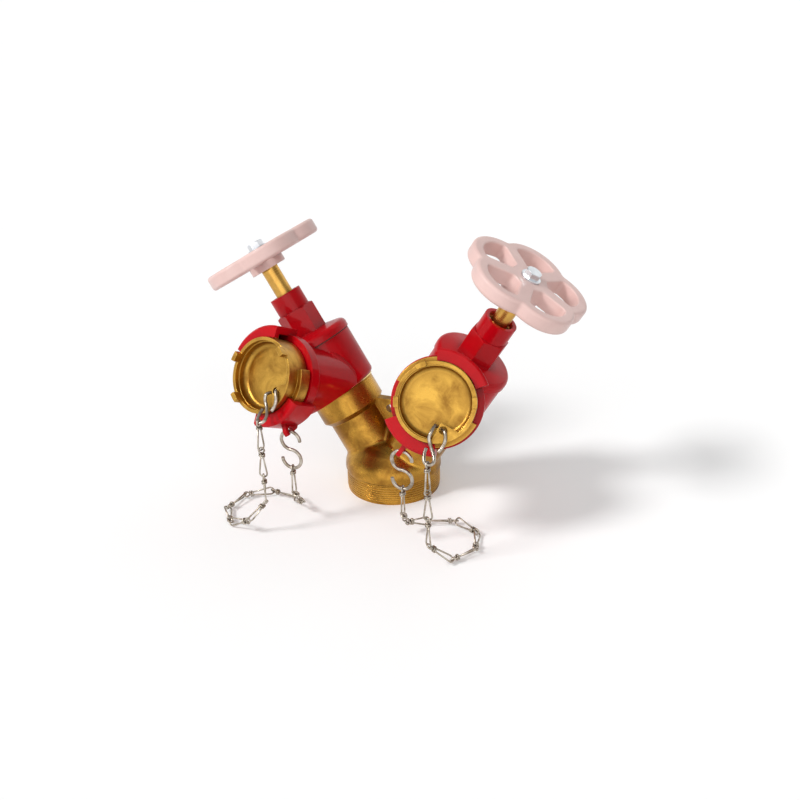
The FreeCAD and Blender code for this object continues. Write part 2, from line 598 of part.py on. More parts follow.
def make_cap(side):
    body = new_body(side + "_cap", cap_frame(side))
    dish_radius = "cap_radius - cap_wall"
    bowl_radius = f"{dish_radius} - dish_step"
    floor = f"{cap_back} + cap_floor"
    turned(body, "dish", [
        (0, cap_back), (cap_claw_inner, cap_back), (cap_claw_inner, cap_lip_back), ("cap_radius", cap_lip_back),
        ("cap_radius", cap_front), (dish_radius, cap_front), (dish_radius, f"{cap_front} - dish_step_depth"),
        (bowl_radius, f"{cap_front} - dish_step_depth"), (bowl_radius, floor), (0, floor)], "YZ_Plane")
    softened(body, "dish_rounds", "dish_round", ring_at(number(bowl_radius), number(floor)))
    claw_middle = size("cap_claw_start") + size("cap_claw_span") / 2
    overlap = "cap_radius - cap_wall / 2"
    lip_inner = f"{groove_radius} + lip_play"
    claw = turned(body, "claw", [
        (lip_inner, cap_lip_back), (cap_claw_outer, cap_lip_back), (cap_claw_outer, ledge_front),
        (overlap, ledge_front), (overlap, cap_back), (cap_claw_inner, cap_back),
        (cap_claw_inner, f"{mouth_back} - hook_gap"), (lip_inner, f"{mouth_back} - hook_gap")],
        "YZ_Plane", turned_plane(claw_middle), span="cap_claw_span")
    patterned(body, claw, 2)
    ledge_middle = size("cap_claw_start") - size("ledge_span") / 2
    ledge = turned(body, "ledge", tube_corners(overlap, cap_claw_outer, cap_back, ledge_front),
                   "YZ_Plane", turned_plane(ledge_middle), span="ledge_span")
    patterned(body, ledge, 2)
    first_lug = size("cap_claw_start") + size("lug_lead")
    later_lug = first_lug + size("cap_claw_span") + size("lug_span")
    for index, turn in enumerate((first_lug, later_lug, later_lug + 180)):
        turned(body, f"lug_{index}", tube_corners(
            "cap_radius - lug_width + 0.5", "cap_radius + 0.5", f"{cap_front} - lug_root",
            f"{cap_front} + lug_rise"), "YZ_Plane", turned_plane(turn), span="lug_span")
    ear_offset = Placement(Vector(0, 0, number(f"{cap_front} - ear_thick")),
                           Rotation(Vector(0, 0, 1), size("ear_angle")))
    ear = sketch_on(body, "XY_Plane", "ear_shape", ear_offset)
    tip = "(ear_hole_reach - ear_edge * sqrt(2))"
    spread = f"(sqrt(2 * ({overlap}) * ({overlap}) - {tip} * {tip}) - {tip}) / 2"
    outline(ear, [(0, tip), (spread, f"{tip} + {spread}"), (0, overlap), (f"-{spread}", f"{tip} + {spread}")])
    pad(body, "ear", ear, "ear_thick")
    hole = sketch_on(body, "XY_Plane", "ear_hole_shape", ear_offset)
    circle(hole, 0, "ear_hole_reach", "ear_hole")
    bore = pad(body, "ear_bore", hole, "ear_thick", cut=True)
    bore.Reversed = True


# Hooks: bent wire, each a pipe along arcs and straights in one upright plane

def wire_hook(label, place, draw_path, start):
    """A round wire swept along a path drawn on the body's front plane, from a start point of formulas."""
    body = new_body(label, place)
    path = sketch_on(body, "XZ_Plane", "path")
    draw_path(path)
    section = sketch_on(body, "XY_Plane", "section", up(start[1]))
    circle(section, start[0], 0, "hook_wire")
    doc.recompute()
    pipe = body.newObject("PartDesign::AdditivePipe", "wire")
    pipe.Profile = section
    pipe.Spine = (path, [f"Edge{i + 1}" for i in range(path.GeometryCount)])
    return body


def arc(sketch, x, y, radius, start, end):
    """An arc about (x, y), held by its centre, radius and end angles in degrees."""
    centre = Vector(number(x), number(y), 0)
    whole = Part.Circle(centre, Vector(0, 0, 1), number(radius))
    index = sketch.addGeometry(Part.ArcOfCircle(whole, math.radians(start), math.radians(end)))
    for point, angle in ((1, start), (2, end)):
        across = f"({x}) + ({radius}) * cos({angle})"
        height = f"({y}) + ({radius}) * sin({angle})"
        pin_point(sketch, index, point, across, height)
    return index


def straight(sketch, start, end):
    spots = [Vector(number(x), number(y), 0) for x, y in (start, end)]
    index = sketch.addGeometry(Part.LineSegment(*spots))
    pin_point(sketch, index, 1, *start)
    pin_point(sketch, index, 2, *end)
    return index


def draw_body_hook(path):
    """Plain S: the top of the upper bend hangs in the eyelet."""
    for geometry in (arc(path, 0, "-hook_bend", "hook_bend", 0, 270),
                     arc(path, 0, "-3 * hook_bend", "hook_bend", -180, 90)):
        held = Sketcher.Constraint("Radius", geometry, size("hook_bend"))
        bind(path, f"Constraints[{path.addConstraint(held)}]", "hook_bend")


def draw_cap_hook(path):
    """Long S: the upper bend wraps the ear's edge, the shank hangs in front and ends in a cup."""
    shank = "cap_hook_reach + cap_hook_turn"
    shank_end = "-cap_hook_turn - cap_hook_drop"
    arcs = [(arc(path, 0, "cap_hook_bend", "cap_hook_bend", 0, 270), "cap_hook_bend")]
    straight(path, (0, 0), ("cap_hook_reach", 0))
    arcs.append((arc(path, "cap_hook_reach", "-cap_hook_turn", "cap_hook_turn", 0, 90), "cap_hook_turn"))
    straight(path, (shank, "-cap_hook_turn"), (shank, shank_end))
    arcs.append((arc(path, f"{shank} + cap_hook_cup", shank_end, "cap_hook_cup", 180, 350), "cap_hook_cup"))
    for geometry, radius in arcs:
        held = Sketcher.Constraint("Radius", geometry, number(radius))
        bind(path, f"Constraints[{path.addConstraint(held)}]", radius)


def upright(point, across):
    """Placement at a point with +X along a direction and +Z as near to straight up as that allows."""
    return Placement(point, Rotation(across, Vector(), Vector(0, 0, 1), "XZY"))


def make_hooks(side):
    """Both hooks of one side; gives each one's lowest point and the way its wire runs there."""
    outlet = valve_frame(side) * outlet_frame
    turn = math.radians(size("ear_angle"))
    reach = size("ear_hole_reach")
    ear_hole = cap_frame(side).multVec(
        Vector(-reach * math.sin(turn), reach * math.cos(turn), number(f"{cap_front} - ear_thick / 2")))
    outward = outlet.Rotation.multVec(Vector(0, 0, 1))
    outward = Rotation(Vector(0, 0, 1), -size(side + "_hook_swing")).multVec(outward)
    cap_place = upright(ear_hole, outward)
    wire_hook(side + "_cap_hook", cap_place, draw_cap_hook, ("cap_hook_bend", "cap_hook_bend"))
    cup = cap_place.multVec(Vector(number("cap_hook_reach + cap_hook_turn + cap_hook_cup"), 0,
                                   number("-cap_hook_turn - cap_hook_drop")))
    eyelet = outlet.multVec(Vector(0, -size("eyelet_reach"), size("eyelet_station")))
    sideways = Vector(1, 0, 0)
    wire_hook(side + "_body_hook", upright(eyelet, sideways), draw_body_hook, ("hook_bend", "-hook_bend"))
    return ((cup - Vector(0, 0, size("cap_hook_cup")), Vector(outward.x, outward.y, 0).normalize()),
            (eyelet - Vector(0, 0, 4 * size("hook_bend")), sideways))


# Chain: wire links of one pitch, hung from both hooks and laid on the floor between

def link_shape():
    """One link in its own frame: long way along X, flat in the XY plane, centred."""
    wire = size("link_wire")
    bend = size("link_width") / 2 - wire
    half = size("link_pitch") / 2 + wire + size("link_slack") / 2 - bend
    pieces = []
    for way in (-1, 1):
        pieces.append(Part.makeCylinder(wire, 2 * half, Vector(-half, way * bend, 0), Vector(1, 0, 0)))
        end = Part.makeTorus(bend, wire, Vector(), Vector(0, 0, 1), 0, 360, 180)
        end.Placement = Placement(Vector(way * half, 0, 0), Rotation(Vector(0, 0, 1), -90 * way))
        pieces.append(end)
    return pieces[0].multiFuse(pieces[1:]).removeSplitter()


def laid_link(template, start, end, flat):
    """A copy of the link from joint to joint, with its flat side's normal near a given direction."""
    along = (end - start).normalize()
    normal = (flat - along * flat.dot(along)).normalize()
    link = template.copy()
    link.Placement = Placement((start + end) * 0.5, Rotation(along, Vector(), normal, "XZY"))
    return link


def run_on(joints, angle, dip=None):
    """One more joint at a heading from +X, going down at a dip angle or, without one, down to the floor."""
    pitch = size("link_pitch")
    drop = joints[-1].z - size("floor_lift") if dip is None else pitch * math.sin(math.radians(dip))
    reach = math.sqrt(pitch ** 2 - drop ** 2)
    heading = math.radians(angle)
    joints.append(joints[-1] + Vector(reach * math.cos(heading), reach * math.sin(heading), -drop))


def knee(start, end, way):
    """The joint that is one pitch from two others, on one hand of the line between them."""
    middle = (start + end) * 0.5
    across = Vector(0, 0, 1).cross(end - start).normalize()
    spare = size("link_pitch") ** 2 - ((end - start).Length / 2) ** 2
    return middle + across * way * math.sqrt(spare)


def hung(point, count):
    """Joints of a strand that hangs straight down from a hook's wire."""
    top = point + Vector(0, 0, size("hook_wire") - size("link_slack") / 2 + size("loose_fit"))
    return [top - Vector(0, 0, size("link_pitch") * i) for i in range(count + 1)]


# Each strand: links hanging straight, then headings with a dip, or with none for the links that lie down
CAP_STRANDS = {"left": (3, [(201.2, 49.4), (165.2,), (127.0,), (82.6,)]),
               "right": (3, [(34.6,), (59.4,), (105.7,)])}
BODY_STRANDS = {"left": (1, [(99.6, 48.8), (134.0,)]), "right": (1, [(104.2, 46.9), (62.5,)])}
KNEE_WAYS = {"left": 1, "right": -1}


def strand(point, plan):
    joints = hung(point, plan[0])
    for step in plan[1]:
        run_on(joints, *step)
    return joints


def make_chain(side, cap_hang, body_hang):
    joints = strand(cap_hang[0], CAP_STRANDS[side])
    body_joints = strand(body_hang[0], BODY_STRANDS[side])
    joints.append(knee(joints[-1], body_joints[-1], KNEE_WAYS[side]))
    joints += body_joints[::-1]
    runs = [(end - start).normalize() for start, end in zip(joints, joints[1:])]
    flats = [cap_hang[1]]
    for along in runs[1:]:
        flats.append(along.cross(flats[-1]).normalize())
    # the last link lies square to the body's hook, so the twist that is left is shared by all links
    wanted = body_hang[1]
    twist = math.degrees(math.atan2(flats[-1].cross(wanted).dot(runs[-1]), flats[-1].dot(wanted)))
    twist = (twist + 90) % 180 - 90
    template = link_shape()
    links = []
    for index, along in enumerate(runs):
        share = Rotation(along, twist * index / (len(runs) - 1))
        links.append(laid_link(template, joints[index], joints[index + 1], share.multVec(flats[index])))
    chain = doc.addObject("Part::Feature", side + "_chain")
    chain.Shape = Part.makeCompound(links)
    chain.Label = side + "_chain"
    nodes[chain.Label] = chain


# Assembly: the Y piece once, then the same parts on each arm

make_y_body()
for side in SIDES:
    place = valve_frame(side)
    make_ring(side + "_joint_ring", place, "spigot_radius + loose_fit", "collar_radius + ring_edge",
              "collar_end", body_start)
    make_valve_body(side)
    make_ring(side + "_bonnet_gasket", place, "spigot_radius + loose_fit", "body_radius - loose_fit",
              "body_top", bonnet_start)
    make_bonnet(side)
    make_ring(side + "_packing", place, "stem_radius + stem_fit", "box_radius - stem_fit",
              "box_start", packing_end)
    make_gland_nut(side)
    make_stem(side)
    make_disc(side)
    make_ring(side + "_stem_retainer", place, "stem_neck + loose_fit", "button_radius + loose_fit - stem_fit",
              f"{disc_hub_top} - retainer_height", disc_hub_top)
    make_ring(side + "_seat_washer", place, "stud_radius + loose_fit", "washer_radius", seat_face, disc_bottom)
    make_disc_nut(side)
    make_handwheel(side)
    make_ring(side + "_wheel_washer", place, "bolt_clear", "plate_washer_radius", wheel_top, bolt_seat)
    make_bolt(side)
    make_ring(side + "_outlet_gasket", place * outlet_frame, "gasket_inner + stem_fit",
              "gasket_inner + gasket_width - stem_fit", "mouth_face - gasket_groove", f"{cap_back} - loose_fit")
    make_cap(side)
    make_chain(side, *make_hooks(side))

doc.recompute()
for thing in doc.Objects:
    if any(state in ("Invalid", "Error") for state in thing.State):
        raise RuntimeError(f"{thing.Label} did not build: {thing.State}")
for label, node in nodes.items():
    if node.Shape.isNull() or not node.Shape.isValid():
        raise RuntimeError(f"{label} has no valid shape")

os.makedirs("parts", exist_ok=True)
for label, node in nodes.items():
    node.Shape.exportStep(f"parts/{label}.step")
    print(label, len(node.Shape.Solids), round(node.Shape.Volume, 1))
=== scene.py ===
import math

import bmesh
import bpy
import numpy as np
from mathutils import Matrix, Vector


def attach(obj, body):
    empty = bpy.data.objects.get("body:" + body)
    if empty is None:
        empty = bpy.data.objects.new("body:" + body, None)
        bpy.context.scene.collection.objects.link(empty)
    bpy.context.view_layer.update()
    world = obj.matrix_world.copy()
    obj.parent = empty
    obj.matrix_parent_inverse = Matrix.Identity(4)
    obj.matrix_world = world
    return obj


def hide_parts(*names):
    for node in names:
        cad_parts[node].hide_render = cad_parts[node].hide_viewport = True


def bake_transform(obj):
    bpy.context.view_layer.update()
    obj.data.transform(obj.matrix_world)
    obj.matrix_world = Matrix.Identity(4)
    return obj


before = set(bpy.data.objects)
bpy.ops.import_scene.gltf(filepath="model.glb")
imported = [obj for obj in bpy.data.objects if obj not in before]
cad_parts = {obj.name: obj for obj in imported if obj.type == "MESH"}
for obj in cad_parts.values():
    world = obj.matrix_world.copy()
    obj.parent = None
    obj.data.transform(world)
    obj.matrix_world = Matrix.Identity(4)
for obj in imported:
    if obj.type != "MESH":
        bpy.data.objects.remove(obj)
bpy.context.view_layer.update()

# Y piece: one sand-cast brass body with the inlet below and an arm to each valve.
# Its skin is grainy, browned in patches, darkened by painted shade in the hollows, and rubbed bright on
# the edges.
# The inlet's thread is cut last, so its crest stands round the foot as a fine ridge.


def add_node(tree, kind, feeds=None, **settings):
    """Adds a shader node, sets its options, and links or sets its inputs."""
    made = tree.nodes.new("ShaderNode" + kind)
    for name, value in settings.items():
        setattr(made, name, value)
    for socket, value in (feeds or {}).items():
        if isinstance(value, bpy.types.NodeSocket):
            tree.links.new(value, made.inputs[socket])
        else:
            made.inputs[socket].default_value = value
    return made


def blend_colours(tree, share, first, second):
    """First colour where share is 0, second where it is 1."""
    return add_node(tree, "Mix", {0: share, 6: first, 7: second}, data_type="RGBA").outputs[2]


def spread(tree, value, low, high, start=0.0, end=1.0):
    """Maps low..high onto start..end and holds it there."""
    return add_node(tree, "MapRange", {"Value": value, "From Min": low, "From Max": high,
                                       "To Min": start, "To Max": end}).outputs["Result"]


def combine(tree, operation, first, second):
    """One step of arithmetic on two values."""
    return add_node(tree, "Math", {0: first, 1: second}, operation=operation).outputs[0]


MILLIMETRES_IN_METRE = 1000.0


def noise_scale(tree, millimetres):
    """Scale of a noise whose grains are that size."""
    return combine(tree, "DIVIDE", MILLIMETRES_IN_METRE, millimetres)


def start_group(name, inputs, outputs):
    """An empty node group with float or vector inputs and float outputs."""
    group = bpy.data.node_groups.new(name, "ShaderNodeTree")
    for label, value in inputs.items():
        kind = "NodeSocketVector" if isinstance(value, tuple) else "NodeSocketFloat"
        group.interface.new_socket(label, in_out="INPUT", socket_type=kind).default_value = value
    for label in outputs:
        group.interface.new_socket(label, in_out="OUTPUT", socket_type="NodeSocketFloat")
    return group, group.nodes.new("NodeGroupInput"), group.nodes.new("NodeGroupOutput")


EDGE_MASK_RADIUS = 0.0011
PATCH_RANGE = (0.36, 0.64)
CREVICE_SHADE_RANGE = (0.95, 0.3)
EDGE_RANGE = (0.995, 0.93)


def make_marks_and_shade():
    """Casting grain, stain patches, painted shade in the crevices, and an edge mask that rubs brass
    clean and lightens enamel as thin paint and painted highlight, sized in millimetres.
    """
    group, given, out = start_group(
        "surface_marks_and_shade", {"Grain Size": 1.2, "Patch Size": 25.0, "Shade Reach": 5.0},
        ("Grain", "Patches", "Crevice Shade", "Edge"))
    place = add_node(group, "TexCoord").outputs["Object"]
    grain = add_node(group, "TexNoise", {
        "Vector": place, "Scale": noise_scale(group, given.outputs["Grain Size"]),
        "Detail": 3.0, "Roughness": 0.6})
    patches = add_node(group, "TexNoise", {
        "Vector": place, "Scale": noise_scale(group, given.outputs["Patch Size"]),
        "Detail": 6.0, "Roughness": 0.62, "Distortion": 0.5})
    reach = combine(group, "DIVIDE", given.outputs["Shade Reach"], MILLIMETRES_IN_METRE)
    # The ambient occlusion mask is painted shade: it darkens crevices and hollows where shade falls.
    shade = add_node(group, "AmbientOcclusion", {"Distance": reach}, samples=8, only_local=True)
    # The edge mask rubs stain and painted shade off brass edges, and lightens enamel edges, partly as
    # thinner paint and partly as a painted highlight.
    softened = add_node(group, "Bevel", {"Radius": EDGE_MASK_RADIUS}, samples=4).outputs["Normal"]
    facing = add_node(group, "NewGeometry").outputs["Normal"]
    agree = add_node(group, "VectorMath", {0: softened, 1: facing}, operation="DOT_PRODUCT")
    marks_and_shade = {"Grain": grain.outputs[0],
             "Patches": spread(group, patches.outputs[0], *PATCH_RANGE),
             "Crevice Shade": spread(group, shade.outputs["AO"], *CREVICE_SHADE_RANGE),
             "Edge": spread(group, agree.outputs["Value"], *EDGE_RANGE)}
    for label, value in marks_and_shade.items():
        group.links.new(value, out.inputs[label])


make_marks_and_shade()


def start_finish(name, base, rough, metallic):
    """A material with its shader, and its plain values set on the shader itself."""
    material = bpy.data.materials.new(name)
    material.use_nodes = True
    tree = material.node_tree
    shader = tree.nodes["Principled BSDF"]
    shader.inputs["Base Color"].default_value = base
    shader.inputs["Roughness"].default_value = rough
    shader.inputs["Metallic"].default_value = metallic
    return material, tree, shader


def place_marks_and_shade(tree, grain, patch, shade_reach):
    """The shared surface marks and painted crevice shade at this material's own sizes, in millimetres.
    """
    marks_and_shade = add_node(tree, "Group", node_tree=bpy.data.node_groups["surface_marks_and_shade"])
    for label, value in (("Grain Size", grain), ("Patch Size", patch), ("Shade Reach", shade_reach)):
        marks_and_shade.inputs[label].default_value = value
    return marks_and_shade.outputs


def gather_stain_and_shade(tree, marks_and_shade, share):
    """Mask of stain and painted shade: that share of the stain patches, and the painted crevice shade
    in full.
    """
    patches = combine(tree, "MULTIPLY", marks_and_shade["Patches"], share)
    return combine(tree, "MAXIMUM", patches, marks_and_shade["Crevice Shade"])


def uneven(tree, mark, ends, rough, less, more):
    """Roughness that follows a mark, from a little less than the plain value to a little more."""
    return spread(tree, mark, *ends, rough - less, rough + more)


def raise_surface(tree, shader, height, depth, edge):
    """Bump of that depth, over edges that look rounded to that radius, in metres."""
    eased = add_node(tree, "Bevel", {"Radius": edge}, samples=6).outputs["Normal"]
    bump = add_node(tree, "Bump", {"Height": height, "Strength": 1.0, "Distance": depth,
                                   "Normal": eased})
    tree.links.new(bump.outputs["Normal"], shader.inputs["Normal"])


def set_finish(node, material):
    """Puts one finish on a whole node."""
    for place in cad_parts[node].material_slots:
        place.material = material


GRAIN_RANGE = (0.3, 0.7)
CAST_STAIN = 0.7
EDGE_RUBBED = 0.6
STAIN_DULLED = 0.12


def cast_brass(name, bright, stained_and_shaded, grain, patch, shade_reach, rough):
    """Cast brass: bright metal browned in stain patches and darkened by painted shade in the crevices,
    rubbed clean on edges.
    """
    material, tree, shader = start_finish(name, bright, rough, metallic=1.0)
    marks_and_shade = place_marks_and_shade(tree, grain, patch, shade_reach)
    rubbed = combine(tree, "MULTIPLY", marks_and_shade["Edge"], EDGE_RUBBED)
    # The browned mask mixes real stain patches with painted shade in the crevices; rubbed edges take
    # both off.
    browned_and_shaded = combine(tree, "SUBTRACT", gather_stain_and_shade(tree, marks_and_shade, CAST_STAIN), rubbed)
    browned_and_shaded = add_node(tree, "Clamp", {"Value": browned_and_shaded}).outputs[0]
    tree.links.new(blend_colours(tree, browned_and_shaded, bright, stained_and_shaded), shader.inputs["Base Color"])
    dull = combine(tree, "ADD", uneven(tree, marks_and_shade["Grain"], GRAIN_RANGE, rough, less=0.07, more=0.07),
                   combine(tree, "MULTIPLY", browned_and_shaded, STAIN_DULLED))
    tree.links.new(dull, shader.inputs["Roughness"])
    raise_surface(tree, shader, marks_and_shade["Grain"], depth=0.00012, edge=0.0007)
    return material


# The stained colour shows in brown stain patches and, as painted shade, deep in the crevices.
y_brass = cast_brass("y_brass", bright=(0.58, 0.31, 0.05, 1), stained_and_shaded=(0.12, 0.04, 0.007, 1),
                     grain=1.1, patch=26.0, shade_reach=18.0, rough=0.26)
set_finish("y_body", y_brass)


def skin_rings(shape, rings):
    """Faces along a row of rings of equal count, closed at both ends."""
    for first, second in zip(rings, rings[1:]):
        for j in range(len(first)):
            k = (j + 1) % len(first)
            shape.faces.new((first[j], first[k], second[k], second[j]))
    shape.faces.new(rings[0])
    shape.faces.new(rings[-1])


def make_piece(name, shape, material):
    """A smooth piece of one finish from a finished shape."""
    bmesh.ops.recalc_face_normals(shape, faces=shape.faces)
    mesh = bpy.data.meshes.new(name)
    shape.to_mesh(mesh)
    shape.free()
    mesh.shade_smooth()
    mesh.materials.append(material)
    piece = bpy.data.objects.new(name, mesh)
    bpy.context.collection.objects.link(piece)
    return piece


THREAD_PITCH = 0.002309
THREAD_RADIUS = 0.04394
THREAD_FROM = 0.0016
THREAD_TO = 0.0182
THREAD_STEPS = 120
FADE_STEPS = 30
FADE_SINK = 0.0002
CREST = ((-0.0009, -0.0003), (-0.0006, 0.00012), (-0.00022, 0.0004),
         (0.00022, 0.0004), (0.0006, 0.00012), (0.0009, -0.0003))


def cut_thread():
    """The inlet thread's crest as one ridge that runs up the foot and fades at both ends."""
    shape = bmesh.new()
    steps = int((THREAD_TO - THREAD_FROM) / THREAD_PITCH * THREAD_STEPS)
    rings = []
    for i in range(steps + 1):
        angle = 2 * math.pi * i / THREAD_STEPS
        fade = min(1.0, i / FADE_STEPS, (steps - i) / FADE_STEPS)
        ring = []
        for along, out in CREST:
            radius = THREAD_RADIUS + (out if out < 0 else out * fade) - FADE_SINK * (1 - fade)
            height = THREAD_FROM + THREAD_PITCH * i / THREAD_STEPS + along
            ring.append(shape.verts.new((radius * math.cos(angle), radius * math.sin(angle), height)))
        rings.append(ring)
    skin_rings(shape, rings)
    return make_piece("inlet_thread", shape, y_brass)


inlet_thread = cut_thread()
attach(inlet_thread, "fixed")

# Joint rings: a thin turned brass ring between each arm's collar and its valve.
# Left bright by the lathe, it shows as a pale line at the joint.


def make_turning_marks():
    """Fine tool rings round a turned axis: Axis points along it, Ring Width is in millimetres."""
    group, given, out = start_group(
        "turning_marks", {"Axis": (0.0, 0.0, 1.0), "Ring Width": 0.5}, ("Rings",))
    place = add_node(group, "TexCoord").outputs["Object"]
    along = add_node(group, "VectorMath", {0: place, 1: given.outputs["Axis"]},
                     operation="DOT_PRODUCT").outputs["Value"]
    rings = add_node(group, "TexNoise", {
        "W": along, "Scale": noise_scale(group, given.outputs["Ring Width"]),
        "Detail": 2.0, "Roughness": 0.7}, noise_dimensions="1D")
    group.links.new(rings.outputs[0], out.inputs["Rings"])


make_turning_marks()


def place_rings(tree, axis, width):
    """The shared turning marks along this material's own axis."""
    rings = add_node(tree, "Group", node_tree=bpy.data.node_groups["turning_marks"])
    rings.inputs["Axis"].default_value = axis
    rings.inputs["Ring Width"].default_value = width
    return rings.outputs["Rings"]


RING_RANGE = (0.25, 0.75)
TURNED_STAIN = 0.4


def turned_metal(name, base, dull, axis, rough, width=0.45):
    """Turned metal: tool rings along its axis, a little stain in patches and painted shade in the
    corners.
    """
    material, tree, shader = start_finish(name, base, rough, metallic=1.0)
    marks_and_shade = place_marks_and_shade(tree, grain=0.8, patch=14.0, shade_reach=3.0)
    rings = place_rings(tree, axis, width)
    stain_and_shade = gather_stain_and_shade(tree, marks_and_shade, TURNED_STAIN)
    # The dull colour shows in stain patches and, as painted shade, in the corners.
    tree.links.new(blend_colours(tree, stain_and_shade, base, dull), shader.inputs["Base Color"])
    tree.links.new(uneven(tree, rings, RING_RANGE, rough, less=0.08, more=0.1),
                   shader.inputs["Roughness"])
    raise_surface(tree, shader, rings, depth=0.00003, edge=0.0004)
    return material


LEAN = math.radians(31.5)
STEM_AXIS = {"left": Vector((-math.sin(LEAN), 0, math.cos(LEAN))),
             "right": Vector((math.sin(LEAN), 0, math.cos(LEAN)))}
for side, axis in STEM_AXIS.items():
    ring_brass = turned_metal(side + "_ring_brass", base=(0.9, 0.7, 0.34, 1), dull=(0.5, 0.3, 0.1, 1),
                              axis=axis, rough=0.2)
    set_finish(side + "_joint_ring", ring_brass)

# Valve bodies and bonnets: cast metal under thick glossy red enamel.
# The paint levels the casting's grain, is darkened by painted shade in the corners, and is lighter on
# the edges, partly as thinner paint and partly as a painted highlight.
# The bonnet screws into the body, on a fibre gasket.

COAT_ROUGH = 0.06
DEEP_PATCH_SHARE = 0.3
PAINT_THINNED_AND_HIGHLIT = 0.35


def enamel(name, full, deep, thin_and_highlit, rough, coat, shine):
    """Enamel: darkened by painted shade in the corners, lighter on the edges as thin paint and painted
    highlight, with the casting's grain just showing.
    """
    material, tree, shader = start_finish(name, full, rough, metallic=0.0)
    shader.inputs["Specular IOR Level"].default_value = shine
    shader.inputs["Coat Weight"].default_value = coat
    shader.inputs["Coat Roughness"].default_value = COAT_ROUGH
    marks_and_shade = place_marks_and_shade(tree, grain=3.5, patch=40.0, shade_reach=16.0)
    # The deep colour shows in stain patches and, as painted shade, in the corners.
    colour = blend_colours(tree, gather_stain_and_shade(tree, marks_and_shade, DEEP_PATCH_SHARE), full, deep)
    # The thin colour on the edges is partly thinner paint and partly a painted highlight.
    thinned_and_highlit = combine(tree, "MULTIPLY", marks_and_shade["Edge"], PAINT_THINNED_AND_HIGHLIT)
    tree.links.new(blend_colours(tree, thinned_and_highlit, colour, thin_and_highlit), shader.inputs["Base Color"])
    tree.links.new(uneven(tree, marks_and_shade["Grain"], GRAIN_RANGE, rough, less=0.06, more=0.08),
                   shader.inputs["Roughness"])
    raise_surface(tree, shader, marks_and_shade["Grain"], depth=0.00006, edge=0.0016)
    return material


red_enamel = enamel("red_enamel", full=(0.52, 0.001, 0.006, 1), deep=(0.12, 0.001, 0.003, 1),
                    thin_and_highlit=(0.66, 0.005, 0.01, 1), rough=0.34, coat=0.26, shine=0.06)
for side in STEM_AXIS:
    set_finish(side + "_valve_body", red_enamel)
    set_finish(side + "_bonnet", red_enamel)

FRONT = Vector((0, -1, 0))
STEM_FOOT = Vector((0, 0, 0.008))
OUTLET_STATION = 0.1
OUTLET_RISE = math.radians(30)


def outlet_ways(side):
    """Where an outlet's axis leaves the stem's, the way it points, and the way across it at the top."""
    stem = STEM_AXIS[side]
    axis = FRONT * math.cos(OUTLET_RISE) + stem * math.sin(OUTLET_RISE)
    top = stem * math.cos(OUTLET_RISE) - FRONT * math.sin(OUTLET_RISE)
    return STEM_FOOT + stem * OUTLET_STATION, axis, top


BARREL_RADIUS = 0.0348
NECK_RADIUS = 0.0315
FILLET_RADIUS = 0.007
FILLET_LEAST = 0.05
FILLET_ROOT = 0.0008
FILLET_FROM = math.radians(55)
FILLET_TO = math.radians(101)
FILLET_STEPS = 36
FILLET_BEND = 8


def fillet_section(side, flank, angle, radius):
    """Outline across the fillet between barrel and neck at one angle round the neck."""
    start, axis, top = outlet_ways(side)
    lateral = STEM_AXIS[side].cross(FRONT) * flank
    off_neck = top * math.cos(angle) + lateral * math.sin(angle)

    def touching(bend):
        """Middle of a ball of that radius in the corner, and the way off the barrel there."""
        reach = NECK_RADIUS + bend
        aside = reach * math.sin(angle)
        ahead = math.sqrt((BARREL_RADIUS + bend) ** 2 - aside ** 2)
        run = (ahead + reach * math.cos(angle) * math.sin(OUTLET_RISE)) / math.cos(OUTLET_RISE)
        return start + axis * run + off_neck * reach, (FRONT * ahead + lateral * aside).normalized()

    middle, off_barrel = touching(radius)
    outline = []
    for i in range(FILLET_BEND + 1):
        toward = off_neck.lerp(off_barrel, i / FILLET_BEND).normalized()
        outline.append(middle - toward * radius)
    corner, off_barrel = touching(0.0)
    outline.append(corner - (off_neck + off_barrel).normalized() * FILLET_ROOT)
    return outline


def fill_necks(side):
    """The casting's fillets on both flanks where the outlet's neck leaves the barrel."""
    shape = bmesh.new()
    for flank in (1, -1):
        rings = []
        for i in range(FILLET_STEPS + 1):
            share = i / FILLET_STEPS
            radius = FILLET_RADIUS * max(FILLET_LEAST, math.sqrt(math.sin(math.pi * share)))
            angle = FILLET_FROM + (FILLET_TO - FILLET_FROM) * share
            outline = fillet_section(side, flank, angle, radius)
            rings.append([shape.verts.new(spot) for spot in outline])
        skin_rings(shape, rings)
    return make_piece(side + "_neck_fillets", shape, red_enamel)


for side in STEM_AXIS:
    fillets = fill_necks(side)
    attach(fillets, "fixed")

SPECKLE_RANGE = (0.4, 0.7)
WHOLE_RANGE = (0.0, 1.0)


def soft_seal(name, base, worn, grain, rough):
    """Rubber, fibre or cord packing: dull and speckled."""
    material, tree, shader = start_finish(name, base, rough, metallic=0.0)
    marks_and_shade = place_marks_and_shade(tree, grain, patch=9.0, shade_reach=2.0)
    speckle = spread(tree, marks_and_shade["Grain"], *SPECKLE_RANGE)
    tree.links.new(blend_colours(tree, speckle, base, worn), shader.inputs["Base Color"])
    tree.links.new(uneven(tree, marks_and_shade["Patches"], WHOLE_RANGE, rough, less=0.1, more=0.1),
                   shader.inputs["Roughness"])
    raise_surface(tree, shader, marks_and_shade["Grain"], depth=0.00008, edge=0.0003)
    return material


fibre = soft_seal("fibre", base=(0.09, 0.05, 0.04, 1), worn=(0.16, 0.1, 0.08, 1), grain=0.7, rough=0.8)
for side in STEM_AXIS:
    set_finish(side + "_bonnet_gasket", fibre)

# Stems and discs: turned brass. The stem's button hangs the disc by its ring nut,
# and a hexagon nut clamps the rubber washer under the disc.
# Packing cord and a slotted brass nut close the neck round the stem.

